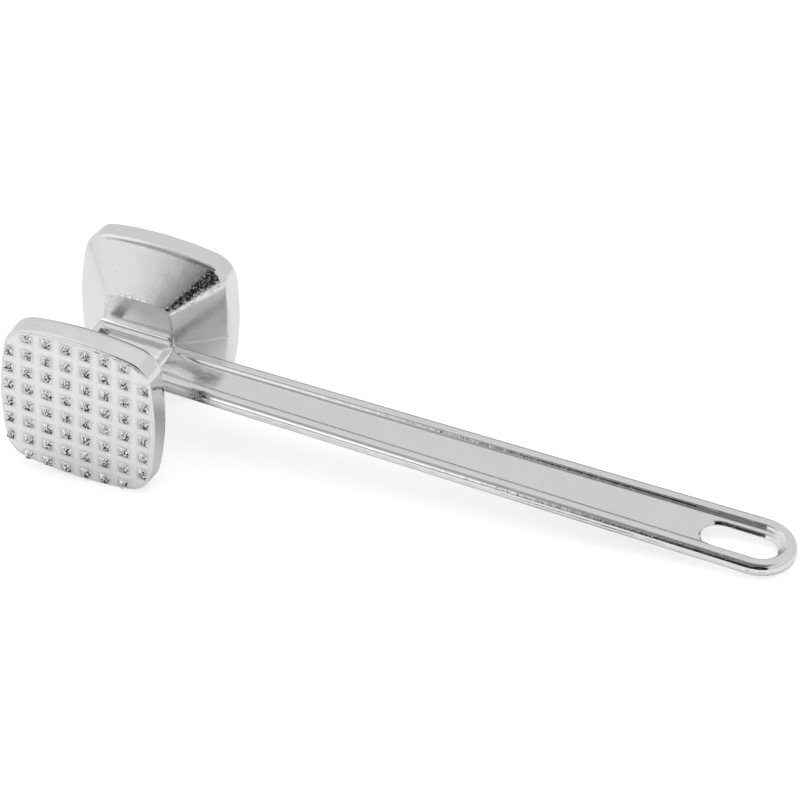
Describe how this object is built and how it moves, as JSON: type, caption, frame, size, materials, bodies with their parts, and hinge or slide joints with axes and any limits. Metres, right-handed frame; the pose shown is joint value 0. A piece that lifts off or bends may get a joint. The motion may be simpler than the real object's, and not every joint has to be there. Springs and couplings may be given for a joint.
{
  "type": "meat mallet",
  "caption": "Two-sided cast aluminium meat mallet: a square head with fine and coarse pyramid teeth, and a flat I-section handle with a hanging slot.",
  "frame": {"origin": "middle of the fine tooth face, on the flat floor between the teeth, level with the middle of the handle's thickness", "axes": "+X along the handle from the head to the hanging end, +Y through the head from the fine teeth to the coarse teeth (the strike axis), +Z normal to the handle's broad faces"},
  "size_m": [0.235, 0.0647, 0.0506],
  "materials": {
    "polished_aluminium": "tumbled and polished die-cast aluminium, bright, with fine scratches",
    "as_cast_aluminium": "as-cast aluminium of the tooth faces, duller and slightly grainy"
  },
  "bodies": {
    "root": {"tooth_face_fine": "as_cast_aluminium", "flange_fine_side": "polished_aluminium", "taper_fine_side": "polished_aluminium", "hub_bar": "polished_aluminium", "taper_coarse_side": "polished_aluminium", "flange_coarse_side": "polished_aluminium", "tooth_face_coarse": "as_cast_aluminium", "handle_web": "polished_aluminium", "handle_rim_near": "polished_aluminium", "handle_rim_far": "polished_aluminium", "hanging_end": "polished_aluminium"}
  },
  "joints": []
}
